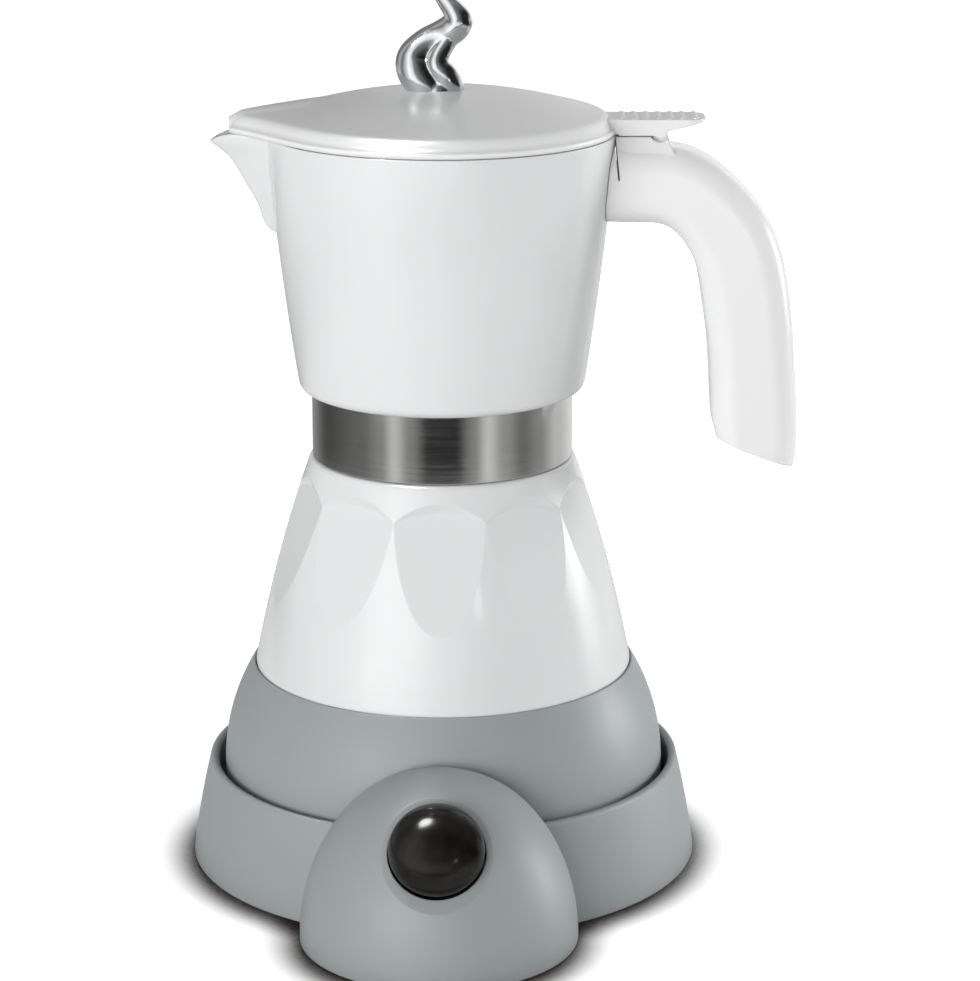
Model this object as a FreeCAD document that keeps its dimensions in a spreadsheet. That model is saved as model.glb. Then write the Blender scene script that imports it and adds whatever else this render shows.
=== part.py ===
# Electric moka pot: a jug screwed on a faceted boiler that stands on a cordless power base.
# Frame: the origin is on the pot's axis, on the surface that it stands on; +X points to the
# handle, -Y to the button and +Z up. All sizes are millimetres and degrees.
import FreeCAD, Part
import Sketcher
import math
import os

from FreeCAD import Placement, Rotation, Vector

document = FreeCAD.newDocument("moka_pot")

# Driving dimensions
driving = {
    # power base
    "base_radius": 70,
    "base_crest_radius": 65,
    "base_crest_height": 27.4,
    "crest_round": 0.9,
    "base_flank_bend": 260,
    "base_wall": 2.4,
    "recess_radius": 62.7,
    "recess_floor": 12,
    "nose_distance": 67,
    "nose_radius": 36.5,
    "nose_height": 45.2,
    "cover_lift": 0.6,
    "cover_thickness": 1.6,
    "cover_radius": 66.4,
    "foot_radius": 6,
    "foot_circle": 54,
    "screw_circle": 47,
    "inlet_bore": 3.2,
    "inlet_radius": 4.1,
    "inlet_height": 6.4,
    "inlet_flange": 5.8,
    "inlet_length": 9,
    "flange_thickness": 1.6,
    # cordless connector
    "connector_radius": 17.5,
    "connector_top": 22,
    "connector_flange": 22,
    "contact_bore": 2.9,
    "slot_inner": 8.6,
    "slot_outer": 12,
    # button
    "button_radius": 12.3,
    "button_tilt": 42,
    "button_crown": 5.2,
    "button_gap": 0.3,
    "button_travel": 2,
    "seat_depth": 3.2,
    # heater collar
    "collar_radius": 60.8,
    "collar_bottom": 14.4,
    "collar_top": 54.6,
    "collar_lip_radius": 52.4,
    "collar_bend": 56,
    "collar_wall": 2.4,
    "collar_mouth": 27,
    "collar_screw_circle": 46,
    "collar_screw_seat": 33,
    "element_circle": 30,
    "element_level": 38.4,
    "element_radius": 3.3,
    # boiler
    "boiler_radius": 51.7,
    "boiler_waist": 55,
    "boiler_bottom": 44,
    "boiler_bend": 400,
    "shoulder_radius": 35.9,
    "shoulder_height": 113,
    "neck_radius": 31.6,
    "neck_top": 126,
    "boiler_wall": 2.8,
    "neck_bore": 28.6,
    "facet_count": 10,
    "facet_lean": 19.5,
    "facet_reach": 47.3,
    "facet_level": 75,
    "facet_arch": 30,
    "valve_level": 93,
    # jug
    "rim_radius": 46.6,
    "rim_height": 201,
    "jug_foot_radius": 38.4,
    "jug_foot_height": 131.6,
    "jug_bend": 900,
    "jug_wall": 2.2,
    "jug_floor": 130.8,
    "jug_floor_thickness": 3,
    "beak_root": 166,
    "beak_half_width": 11.4,
    "skirt_radius": 34.3,
    "skirt_bore": 32,
    "skirt_bottom": 113.9,
    "band_radius": 35.3,
    "band_bottom": 113.3,
    "band_top": 131.5,
    # handle
    "handle_width": 23,
    "handle_round": 7,
    "handle_top": 198.2,
    "handle_underside": 177.5,
    "handle_screw_across": 53,
    "handle_screw_seat": 180.2,
    "handle_screw_bore": 1.3,
    "hinge_across": 58,
    "hinge_height": 202.1,
    "hinge_radius": 1.9,
    "hinge_width": 14,
    "hinge_seat": 200.6,
    "seat_flare": 24,
    "pin_radius": 0.8,
    "ear_middle": 4,
    "ear_radius": 1.8,
    "ear_thickness": 1.6,
    # lid
    "lid_radius": 46.4,
    "lid_level": 201.2,
    "lid_edge": 1.5,
    "lid_apex": 212.2,
    "lid_wall": 1.8,
    "lid_beak": 55.7,
    "tab_width": 14,
    "tab_reach": 70,
    "tab_top": 205.2,
    "tab_underside": 202.2,
    "rib_pitch": 3.2,
    "rib_count": 7,
    # coffee basket and seal
    "basket_radius": 28.2,
    "basket_depth": 21,
    "basket_wall": 0.8,
    "stem_radius": 4.2,
    "stem_bottom": 53,
    "sieve_hole": 0.9,
}

sheet = document.addObject("Spreadsheet::Sheet", "sizes")
for row, (name, number) in enumerate(driving.items(), start=1):
    sheet.set(f"A{row}", name.replace("_", " "))
    sheet.set(f"B{row}", str(number))
    sheet.setAlias(f"B{row}", name)
document.recompute()


class Size:
    # A number read from the sheet, with the formula that binds a feature to it.
    def __init__(self, number, formula):
        self.number = number
        self.formula = formula

    def __add__(self, other):
        return combined(self, "+", other, lambda a, b: a + b)

    def __sub__(self, other):
        return combined(self, "-", other, lambda a, b: a - b)

    def __mul__(self, other):
        return combined(self, "*", other, lambda a, b: a * b)

    def __truediv__(self, other):
        return combined(self, "/", other, lambda a, b: a / b)

    def __neg__(self):
        return combined(0, "-", self, lambda a, b: a - b)


def as_size(value):
    return value if isinstance(value, Size) else Size(value, str(value))


def combined(left, sign, right, rule):
    left = as_size(left)
    right = as_size(right)
    number = rule(left.number, right.number)
    return Size(number, f"({left.formula} {sign} {right.formula})")


class Sheet:
    # sizes.base_radius gives the sheet's cell of that name as a Size.
    def __getattr__(self, name):
        return Size(float(sheet.get(name)), f"sizes.{name}")


sizes = Sheet()


# Sketches
START, END, CENTRE = 1, 2, 3
ORIGIN = -1
X_LINE, Y_LINE = -1, -2


def add_body(label):
    body = document.addObject("PartDesign::Body", label)
    body.Label = label
    return body


def add_sketch(body, name, role, lift=None, turn=None, shift=None):
    # role is the origin plane; lift moves the sketch off it along its normal.
    sketch = body.newObject("Sketcher::SketchObject", name)
    plane = next(item for item in body.Origin.OriginFeatures if item.Role == role)
    sketch.AttachmentSupport = [(plane, "")]
    sketch.MapMode = "FlatFace"
    base = shift or Vector(0, 0, as_size(lift or 0).number)
    sketch.AttachmentOffset = Placement(base, turn or Rotation())
    if isinstance(lift, Size):
        sketch.setExpression("AttachmentOffset.Base.z", lift.formula)
    return sketch


def bind(sketch, name, constraint, value):
    index = sketch.addConstraint(constraint)
    sketch.renameConstraint(index, name)
    if isinstance(value, Size):
        sketch.setExpression(f"Constraints.{name}", value.formula)


def locate(sketch, name, edge, point, across, up):
    # Ties a point of an edge to its distances from the sketch's origin.
    for kind, axis, value in (("DistanceX", Y_LINE, across), ("DistanceY", X_LINE, up)):
        number = as_size(value).number
        if abs(number) < 1e-9:
            sketch.addConstraint(Sketcher.Constraint("PointOnObject", edge, point, axis))
            continue
        rule = Sketcher.Constraint(kind, ORIGIN, START, edge, point, number)
        bind(sketch, f"{name}_{'across' if kind == 'DistanceX' else 'up'}", rule, value)


def arc_from(start, end, radius):
    # The short arc between two points; a positive radius turns left on the way.
    chord = end - start
    middle = (start + end) * 0.5
    left = Vector(-chord.y, chord.x, 0).normalize()
    rise = math.sqrt(max(radius * radius - chord.Length ** 2 / 4, 0))
    side = math.copysign(1, radius)
    centre = middle + left * rise * side
    crown = centre - left * abs(radius) * side
    return Part.Arc(start, crown, end)


def draw_outline(sketch, corners, name="corner"):
    # Corners are (across, up) or (across, up, bend): bend is the radius of the arc that leaves
    # the corner, positive where it turns left.
    places = [Vector(as_size(c[0]).number, as_size(c[1]).number, 0) for c in corners]
    bends = [c[2] if len(c) > 2 else None for c in corners]
    ends = []
    for index, (start, bend) in enumerate(zip(places, bends)):
        end = places[(index + 1) % len(places)]
        edge = Part.LineSegment(start, end) if bend is None else arc_from(start, end, as_size(bend).number)
        shape = sketch.addGeometry(edge)
        swapped = (sketch.getPoint(shape, START) - start).Length > 1e-6
        ends.append((shape, END if swapped else START, START if swapped else END))
    for index, (corner, bend) in enumerate(zip(corners, bends)):
        edge, start = ends[index][:2]
        before, last = ends[index - 1][::2]
        sketch.addConstraint(Sketcher.Constraint("Coincident", before, last, edge, start))
        locate(sketch, f"{name}_{index + 1}", edge, start, corner[0], corner[1])
        if bend is not None:
            radius = bend if as_size(bend).number > 0 else as_size(bend) * -1
            rule = Sketcher.Constraint("Radius", edge, abs(as_size(bend).number))
            bind(sketch, f"{name}_{index + 1}_bend", rule, radius)


def draw_circle(sketch, across, up, radius, name="circle"):
    centre = Vector(as_size(across).number, as_size(up).number, 0)
    circle = sketch.addGeometry(Part.Circle(centre, Vector(0, 0, 1), as_size(radius).number))
    locate(sketch, f"{name}_centre", circle, CENTRE, across, up)
    bind(sketch, f"{name}_radius", Sketcher.Constraint("Radius", circle, as_size(radius).number), radius)


# Features
def feature(body, kind, name, profile):
    item = body.newObject(f"PartDesign::{kind}", name)
    item.Profile = profile
    return item


def set_size(item, name, value):
    setattr(item, name, as_size(value).number)
    if isinstance(value, Size):
        item.setExpression(name, value.formula)


def turn_about_axis(body, kind, name, corners, angle=360):
    # A revolution or a groove of an outline in the XZ plane about the pot's axis.
    sketch = add_sketch(body, f"{name}_outline", "XZ_Plane")
    draw_outline(sketch, corners)
    item = feature(body, kind, name, sketch)
    item.ReferenceAxis = (sketch, ["V_Axis"])
    item.Angle = angle
    return item


def pull(body, kind, name, sketch, length, both_ways=False, reversed_way=False, taper=0):
    item = feature(body, kind, name, sketch)
    set_size(item, "Length", length)
    item.SideType = "Symmetric" if both_ways else "One side"
    item.Reversed = reversed_way
    item.TaperAngle = taper
    return item


def round_edges(body, name, radius, chosen, kind="Fillet"):
    # Rounds (or bevels) the edges of the body's tip that the test picks out.
    document.recompute()
    tip = body.Tip
    names = [f"Edge{n}" for n, edge in enumerate(tip.Shape.Edges, start=1) if chosen(edge)]
    if not names:
        raise RuntimeError(f"{body.Label}: no edge to round for {name}")
    item = body.newObject(f"PartDesign::{kind}", name)
    item.Base = (tip, names)
    set_size(item, "Radius" if kind == "Fillet" else "Size", radius)
    return item


def ring_at(radius, height):
    # Picks circles about the pot's axis by their radius and height.
    def chosen(edge):
        if edge.Length < 0.01:
            return False
        curve = edge.Curve
        if not isinstance(curve, Part.Circle):
            return False
        off = math.hypot(curve.Center.x, curve.Center.y)
        near = abs(curve.Radius - as_size(radius).number) < 0.05
        return off < 0.01 and near and abs(curve.Center.z - as_size(height).number) < 0.05
    return chosen


def round_ring(body, name, radius, height, amount):
    return round_edges(body, name, amount, ring_at(radius, height))


def repeat_round(body, name, items, count, angle=360):
    # Repeats features about the pot's axis.
    pattern = body.newObject("PartDesign::PolarPattern", name)
    axis = next(item for item in body.Origin.OriginFeatures if item.Role == "Z_Axis")
    pattern.Originals = items
    pattern.Axis = (axis, [""])
    pattern.Angle = angle
    pattern.Occurrences = int(as_size(count).number)
    if isinstance(count, Size):
        pattern.setExpression("Occurrences", count.formula)
    body.Tip = pattern
    return pattern


def ring_body(label, corners):
    # A whole sub-part turned from one outline.
    body = add_body(label)
    turn_about_axis(body, "Revolution", "turned", corners)
    return body


def tube_corners(inner, outer, low, high):
    return [(inner, low), (outer, low), (outer, high), (inner, high)]


def disc_corners(radius, low, high):
    return tube_corners(0, radius, low, high)


def add_group(label, masters):
    # Several separate solids under one name, such as a set of screws.
    group = document.addObject("Part::Compound", label)
    group.Label = label
    group.Links = masters
    return group


def add_copies(label, master, places):
    # The same solid at several places, under one name.
    document.recompute()
    copies = []
    for place in places:
        copy = master.Shape.copy()
        copy.Placement = place.multiply(copy.Placement)
        copies.append(copy)
    group = document.addObject("Part::Feature", label)
    group.Label = label
    group.Shape = Part.makeCompound(copies)
    return group


def around(radius, count, start=0):
    # Places spaced evenly about the pot's axis.
    places = []
    for index in range(count):
        spin = Rotation(Vector(0, 0, 1), start + index * 360 / count)
        places.append(Placement(spin.multVec(Vector(radius, 0, 0)), spin))
    return places


def drill_ring(body, name, hole, circle, count, depth_from, depth):
    # A ring of round holes, cut downwards from a height.
    sketch = add_sketch(body, f"{name}_circle", "XY_Plane", lift=depth_from)
    draw_circle(sketch, circle, 0, hole)
    first = pull(body, "Pocket", name, sketch, depth)
    return repeat_round(body, f"{name}_ring", [first], count)


# Power base
def nose_place():
    return Vector(0, -sizes.nose_distance.number, 0)


def button_place():
    # The point of the nose whose outward normal has the button's tilt, and the turn that
    # carries +Z onto that normal.
    tilt = math.radians(sizes.button_tilt.number)
    across = sizes.nose_radius.number * math.cos(tilt)
    up = sizes.nose_height.number * math.sin(tilt)
    spread = math.hypot(across, up)
    out = across * sizes.nose_radius.number / spread
    rise = up * sizes.nose_height.number / spread
    turn = Rotation(Vector(1, 0, 0), 90 - sizes.button_tilt.number)
    return Placement(nose_place() + Vector(0, -out, rise), turn)


def add_nose(body, name, inset):
    # The upper half of an ellipsoid that stands in front of the ring.
    nose = body.newObject("PartDesign::AdditiveEllipsoid", name)
    set_size(nose, "Radius1", sizes.nose_height - inset)
    set_size(nose, "Radius2", sizes.nose_radius - inset)
    set_size(nose, "Radius3", sizes.nose_radius - inset)
    nose.Angle1 = 0
    nose.Placement = Placement(nose_place(), Rotation())
    return nose


s = sizes


def make_base_cavity():
    body = add_body("base_cavity")
    add_nose(body, "nose_room", s.base_wall)
    sketch = add_sketch(body, "recess_wall", "XY_Plane")
    draw_circle(sketch, 0, 0, s.recess_radius + s.base_wall)
    pull(body, "Pocket", "keep_recess_wall", sketch, s.nose_height, reversed_way=True)
    turn_about_axis(body, "Revolution", "ring_room", [
        (0, 0),
        (s.base_radius - s.base_wall, 0),
        (s.recess_radius + s.base_wall + 0.4, s.recess_floor - s.base_wall),
        (0, s.recess_floor - s.base_wall),
    ])
    return body


def along_button(distance):
    # A place on the button's axis, at a distance outwards from the nose's surface.
    place = button_place()
    return place.multiply(Placement(Vector(0, 0, distance), Rotation()))


def sketch_on_button(body, name, distance):
    place = along_button(distance)
    return add_sketch(body, name, "XY_Plane", shift=place.Base, turn=place.Rotation)


def make_power_base_shell():
    body = add_body("power_base_shell")
    turn_about_axis(body, "Revolution", "ring", [
        (0, 0),
        (s.base_radius, 0, s.base_flank_bend),
        (s.base_crest_radius, s.base_crest_height - s.crest_round, s.crest_round),
        (s.base_crest_radius - s.crest_round, s.base_crest_height),
        (s.recess_radius + s.crest_round, s.base_crest_height, s.crest_round),
        (s.recess_radius, s.base_crest_height - s.crest_round),
        (s.recess_radius, s.recess_floor),
        (0, s.recess_floor),
    ])
    add_nose(body, "nose", 0)
    recess = add_sketch(body, "recess_circle", "XY_Plane", lift=s.recess_floor)
    draw_circle(recess, 0, 0, s.recess_radius)
    pull(body, "Pocket", "recess", recess, s.nose_height, reversed_way=True)

    cavity = make_base_cavity()
    hollow = body.newObject("PartDesign::Boolean", "hollow")
    hollow.Type = "Cut"
    hollow.setObjects([cavity])
    connector = add_sketch(body, "connector_circle", "XY_Plane", lift=s.recess_floor)
    draw_circle(connector, 0, 0, s.connector_radius + 0.2)
    pull(body, "Pocket", "connector_opening", connector, s.base_wall * 2)
    low = s.cover_lift + s.cover_thickness + 0.2
    bosses = add_sketch(body, "boss_circle", "XY_Plane", lift=low)
    draw_circle(bosses, s.screw_circle, 0, 4)
    boss = pull(body, "Pad", "screw_boss", bosses, s.recess_floor - s.base_wall - low)
    repeat_round(body, "screw_bosses", [boss], 4)
    drill_ring(body, "screw_bore", 1.3, s.screw_circle, 4, s.recess_floor - s.base_wall, 8)

    seat = sketch_on_button(body, "button_seat_circle", -s.seat_depth.number)
    draw_circle(seat, 0, 0, s.button_radius * 2)
    pull(body, "Pocket", "button_seat", seat, 12, reversed_way=True)

    bore = s.button_radius + s.button_gap
    sleeve = sketch_on_button(body, "button_sleeve_circles", -10)
    draw_circle(sleeve, 0, 0, bore + 1.6)
    pull(body, "Pad", "button_sleeve", sleeve, -s.seat_depth + 9.5)
    opening = sketch_on_button(body, "button_opening_circle", 4)
    draw_circle(opening, 0, 0, bore)
    pull(body, "Pocket", "button_opening", opening, 16)

    inlet = add_sketch(body, "inlet_circle", "XZ_Plane", lift=-s.base_radius - 2)
    draw_circle(inlet, 0, s.inlet_height, s.inlet_radius + 0.1)
    pull(body, "Pocket", "inlet_opening", inlet, s.inlet_length + 2.2, reversed_way=True)
    seat = add_sketch(body, "inlet_seat_circle", "XZ_Plane", lift=-s.base_radius - 2)
    draw_circle(seat, 0, s.inlet_height, s.inlet_flange + 0.1)
    pull(body, "Pocket", "inlet_seat", seat, s.flange_thickness + 2, reversed_way=True)
    return body


def make_bottom_cover():
    body = add_body("base_bottom_cover")
    sketch = add_sketch(body, "ring_circle", "XY_Plane", lift=s.cover_lift)
    draw_circle(sketch, 0, 0, s.cover_radius)
    pull(body, "Pad", "ring_disc", sketch, s.cover_thickness)
    nose = add_sketch(body, "nose_circle", "XY_Plane", lift=s.cover_lift)
    draw_circle(nose, 0, -s.nose_distance, s.nose_radius - s.base_wall - 0.3)
    pull(body, "Pad", "nose_disc", nose, s.cover_thickness)
    drill_ring(body, "screw_hole", 1.7, s.screw_circle, 4, s.cover_lift + s.cover_thickness, 4)
    drill_ring(body, "screw_head_room", 3.1, s.screw_circle, 4, s.cover_lift + 0.9, 2)
    wide = s.foot_radius + 0.1
    pocket = add_sketch(body, "foot_circle", "XY_Plane", lift=s.cover_lift + 0.9)
    draw_circle(pocket, s.foot_circle * math.cos(math.pi / 4), s.foot_circle * math.sin(math.pi / 4), wide)
    room = pull(body, "Pocket", "foot_room", pocket, 3)
    repeat_round(body, "foot_rooms", [room], 4)
    return body


def make_screw(label, head_radius, head_depth, shank_radius, length):
    # A cross-slotted screw whose head lies below z = 0 and whose shank points up.
    body = add_body(label)
    turn_about_axis(body, "Revolution", "head_and_shank", [
        (0, -head_depth),
        (head_radius * 0.8, -head_depth),
        (head_radius, -head_depth * 0.6),
        (head_radius, 0),
        (shank_radius, 0),
        (shank_radius, length - shank_radius),
        (shank_radius * 0.4, length),
        (0, length),
    ])
    reach = head_radius * 0.6
    half = head_radius * 0.18
    for number, (across, up) in enumerate(((reach, half), (half, reach)), start=1):
        arm = add_sketch(body, f"drive_outline_{number}", "XY_Plane", lift=-head_depth)
        draw_outline(arm, [(-across, -up), (across, -up), (across, up), (-across, up)])
        pull(body, "Pocket", f"drive_{number}", arm, head_depth * 0.6, reversed_way=True)
    return body


def make_cord_inlet():
    # A bush along Y, turned about local Z and laid on its side.
    body = ring_body("cord_inlet", [
        (s.inlet_bore, -s.inlet_length),
        (s.inlet_radius, -s.inlet_length),
        (s.inlet_radius, -s.flange_thickness),
        (s.inlet_flange, -s.flange_thickness),
        (s.inlet_flange, -0.6),
        (s.inlet_flange - 0.8, 0),
        (s.inlet_bore + 0.4, 0),
        (s.inlet_bore, -0.4),
    ])
    place = Vector(0, s.base_radius.number, s.inlet_height.number)
    body.Placement = Placement(place, Rotation(Vector(1, 0, 0), -90))
    return body


def make_base_connector():
    top = s.connector_top
    ledge = s.recess_floor - s.base_wall
    return ring_body("base_connector", [
        (4.05, ledge - 1.6),
        (s.connector_flange, ledge - 1.6),
        (s.connector_flange, ledge - 0.1),
        (s.connector_radius, ledge - 0.1),
        (s.connector_radius, top - 0.8),
        (s.connector_radius - 0.8, top),
        (s.slot_outer, top),
        (s.slot_outer, ledge + 2.9),
        (s.slot_inner, ledge + 2.9),
        (s.slot_inner, top),
        (4.05, top),
    ])


def make_base_contacts():
    centre = ring_body("centre_contact", tube_corners(s.contact_bore, 4, 9, 21))
    outer = ring_body("ring_contact", tube_corners(11.3, 11.9, 12.6, 20))
    return add_group("base_contacts", [centre, outer])


def cap_bend(reach, rise):
    # The radius of a cap centred on its axis, from how far it reaches and how far it rises.
    return (reach ** 2 + rise ** 2) / (2 * rise)


def make_button_parts():
    # Everything here is built about its own Z axis, with the nose's surface at z = 0.
    radius = s.button_radius
    inner = s.button_radius - 1.5
    crown = s.button_crown
    rim_level = crown - 1.9
    button = ring_body("power_button", [
        (0, crown - 1.8, -cap_bend(inner.number, crown.number - 1)),
        (inner, -0.8),
        (inner, -5.5),
        (radius, -5.5),
        (radius, -0.3, 4.4),
        (radius - 2.4, rim_level, cap_bend(radius.number - 2.4, 1.9)),
        (0, crown),
    ])
    plunger = ring_body("button_plunger", [
        (0, s.button_travel - 13.5), (2.6, s.button_travel - 13.5),
        (2.6, -6), (inner, -6), (inner, -4.6), (0, -4.6),
    ])
    hole = add_sketch(plunger, "lamp_circle", "XY_Plane", lift=-4)
    draw_circle(hole, 0, 6.6, 2.6)
    pull(plunger, "Pocket", "lamp_hole", hole, 3)
    spring = ring_body("button_spring", tube_corners(3, 4.2, s.button_travel - 11.9, -6.1))
    holder = ring_body("switch_holder", [
        (2.9, -13.5), (16, -13.5), (16, -7.8), (14.9, -7.8), (14.9, -12.1), (2.9, -12.1),
    ])
    lamp_seat = add_sketch(holder, "lamp_circle", "XY_Plane", lift=-11)
    draw_circle(lamp_seat, 0, 6.6, 2.1)
    pull(holder, "Pocket", "lamp_seat", lamp_seat, 4)
    lamp = ring_body("indicator_lamp", [
        (0, -15), (2.5, -15), (2.5, -13.6), (2, -13.6), (2, -8.6, 2), (0, -6.6),
    ])
    switch = add_body("switch_body")
    box = add_sketch(switch, "box_outline", "XY_Plane", lift=-23)
    draw_outline(box, [(-7, -8), (7, -8), (7, 4), (-7, 4)])
    pull(switch, "Pad", "box", box, 9.4)
    place = button_place()
    for item in (button, plunger, spring, holder, switch):
        item.Placement = place
    lamp.Placement = place.multiply(Placement(Vector(0, 6.6, 0), Rotation()))
    return [button, plunger, spring, switch, holder, lamp]


# Pot
def make_boiler():
    wall = s.boiler_wall
    body = add_body("boiler")
    turn_about_axis(body, "Revolution", "bowl", [
        (0, s.boiler_bottom),
        (s.boiler_radius - 0.5, s.boiler_bottom),
        (s.boiler_radius, s.boiler_waist, s.boiler_bend),
        (s.shoulder_radius, s.shoulder_height),
        (s.neck_radius, s.shoulder_height),
        (s.neck_radius, s.neck_top),
        (0, s.neck_top),
    ])
    round_ring(body, "shoulder_round", s.shoulder_radius, s.shoulder_height, 1.6)
    window = add_sketch(
        body, "facet_window", "XZ_Plane",
        shift=Vector(0, s.facet_level.number, s.facet_reach.number),
        turn=Rotation(Vector(1, 0, 0), -s.facet_lean.number),
    )
    draw_outline(window, [(-16, -6), (16, -6), (16, 28, s.facet_arch), (-16, 28)])
    facet = pull(body, "Pocket", "facet", window, 8, reversed_way=True, taper=50)
    repeat_round(body, "facets", [facet], s.facet_count)
    turn_about_axis(body, "Groove", "water_room", [
        (0, s.boiler_bottom + wall),
        (47.6, s.boiler_bottom + wall),
        (47.6, 58, 400),
        (31.8, s.shoulder_height - 3.5),
        (s.neck_bore, s.shoulder_height - 0.5),
        (s.neck_bore, s.neck_top + 1),
        (0, s.neck_top + 1),
    ])
    bosses = add_sketch(body, "boss_circle", "XY_Plane", lift=s.boiler_bottom + 0.5)
    draw_circle(bosses, s.collar_screw_circle, 0, 3.6)
    boss = pull(body, "Pad", "screw_boss", bosses, 6.5, reversed_way=True)
    repeat_round(body, "screw_bosses", [boss], 3)
    bore = add_sketch(body, "bore_circle", "XY_Plane", lift=37)
    draw_circle(bore, s.collar_screw_circle, 0, 1.6)
    hole = pull(body, "Pocket", "screw_bore", bore, 6.6, reversed_way=True)
    repeat_round(body, "screw_bores", [hole], 3)
    place = valve_place()
    valve_boss = add_sketch(body, "valve_boss_circle", "XY_Plane", shift=place.Base, turn=place.Rotation)
    draw_circle(valve_boss, 0, 0, 6.4)
    pull(body, "Pad", "valve_boss", valve_boss, 5, reversed_way=True)
    valve_bore = add_sketch(body, "valve_bore_circle", "XY_Plane", shift=place.Base, turn=place.Rotation)
    draw_circle(valve_bore, 0, 0, 4)
    pull(body, "Pocket", "valve_bore", valve_bore, 12, both_ways=True)
    return body


def valve_place():
    # The middle of the facet at the back, turned so that +Z is its outward normal.
    lean = s.facet_lean.number
    drop = s.valve_level.number - s.facet_level.number
    out = s.facet_reach.number - drop * math.tan(math.radians(lean))
    turn = Rotation(Vector(1, 0, 0), lean - 90)
    return Placement(Vector(0, out, s.valve_level.number), turn)


def make_heater_collar():
    wall = s.collar_wall
    body = add_body("heater_collar")
    turn_about_axis(body, "Revolution", "skirt", [
        (s.collar_mouth, s.collar_bottom),
        (s.collar_radius - 1.6, s.collar_bottom, 1.6),
        (s.collar_radius, s.collar_bottom + 1.6),
        (s.collar_radius, 25, s.collar_bend),
        (s.collar_lip_radius, s.collar_top),
        (51.95, s.collar_top),
        (51.95, s.collar_top - 6, -s.collar_bend),
        (s.collar_radius - wall, 25),
        (s.collar_radius - wall, s.collar_bottom + wall),
        (s.collar_mouth, s.collar_bottom + wall),
    ])
    floor = s.collar_bottom + wall
    bosses = add_sketch(body, "boss_circle", "XY_Plane", lift=floor - 0.4)
    draw_circle(bosses, s.collar_screw_circle, 0, 4.5)
    boss = pull(body, "Pad", "screw_boss", bosses, 21.3)
    repeat_round(body, "screw_bosses", [boss], 3)
    drill_ring(body, "screw_hole", 1.9, s.collar_screw_circle, 3, 39, 26)
    drill_ring(body, "screw_head_room", 3.3, s.collar_screw_circle, 3, s.collar_screw_seat, 20)
    return body


def make_heating_element():
    # A bent tube, 300 degrees round, with its two ends turned down as terminals.
    body = add_body("heating_element")
    profile = add_sketch(body, "tube_circle", "XZ_Plane")
    draw_circle(profile, s.element_circle, s.element_level, s.element_radius)
    turned = feature(body, "Revolution", "tube", profile)
    turned.ReferenceAxis = (profile, ["V_Axis"])
    turned.Angle = 300
    turned.Midplane = True
    half = math.radians(150)
    for side in (-1, 1):
        leg = add_sketch(body, f"terminal_circle_{side + 2}", "XY_Plane", lift=s.element_level)
        across = s.element_circle * math.cos(half)
        up = s.element_circle * (side * math.sin(half))
        draw_circle(leg, across, up, s.element_radius - 0.1)
        pull(body, "Pad", f"terminal_{side + 2}", leg, 8.4, reversed_way=True)
    return body


def make_pot_connector():
    # A cup that drops over the power base's connector.
    return ring_body("pot_connector", [
        (2.55, 24.6),
        (s.connector_radius + 0.7, 24.6),
        (s.connector_radius + 0.7, 15),
        (26.5, 15),
        (26.5, 16.95),
        (30, 16.95),
        (30, 18.4),
        (26.5, 18.4),
        (26.5, 27),
        (2.55, 27),
    ])


# Funnel, seal and jug
def make_funnel():
    r = s.basket_radius
    wall = s.basket_wall
    body = add_body("funnel_basket")
    top = s.neck_top + 0.1
    low = s.neck_top - s.basket_depth
    turn_about_axis(body, "Revolution", "cup_and_stem", [
        (0, low + 2.3),
        (r - wall, low + 2.3),
        (r - wall, top + wall),
        (s.neck_radius - 0.4, top + wall),
        (s.neck_radius - 0.4, top),
        (r, top),
        (r, low),
        (s.stem_radius, low - 10),
        (s.stem_radius, s.stem_bottom + 2),
        (s.stem_radius + 1.2, s.stem_bottom),
        (s.stem_radius + 0.4, s.stem_bottom),
        (s.stem_radius - wall, s.stem_bottom + 2.2),
        (s.stem_radius - wall, low - 9.4),
        (r - wall, low + 0.5),
        (r - wall, low + 1.5),
        (0, low + 1.5),
    ])
    for circle, count in ((7, 6), (14, 12), (21, 18)):
        drill_ring(body, f"sieve_{circle}", 1.1, circle, count, low + 3, 2)
    return body


def make_filter_plate():
    body = ring_body("filter_plate", [
        (0, 129.6), (22.8, 129.6), (23.4, 128.6), (24.4, 128.6), (24.4, 129.4), (23.3, 130.4), (0, 130.4),
    ])
    for circle, count in ((6, 6), (12, 12), (18, 18)):
        drill_ring(body, f"sieve_{circle}", s.sieve_hole, circle, count, 131, 2)
    return body


def jug_radius(height):
    # The radius of the jug's outside, which is one wide arc from its foot to its rim.
    foot = Vector(s.jug_foot_radius.number, s.jug_foot_height.number, 0)
    rim = Vector(s.rim_radius.number, s.rim_height.number, 0)
    chord = rim - foot
    bend = s.jug_bend.number
    side = Vector(-chord.y, chord.x, 0).normalize()
    centre = (foot + rim) * 0.5 + side * math.sqrt(bend * bend - chord.Length ** 2 / 4)
    return centre.x + math.sqrt(bend * bend - (height - centre.y) ** 2)


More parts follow.
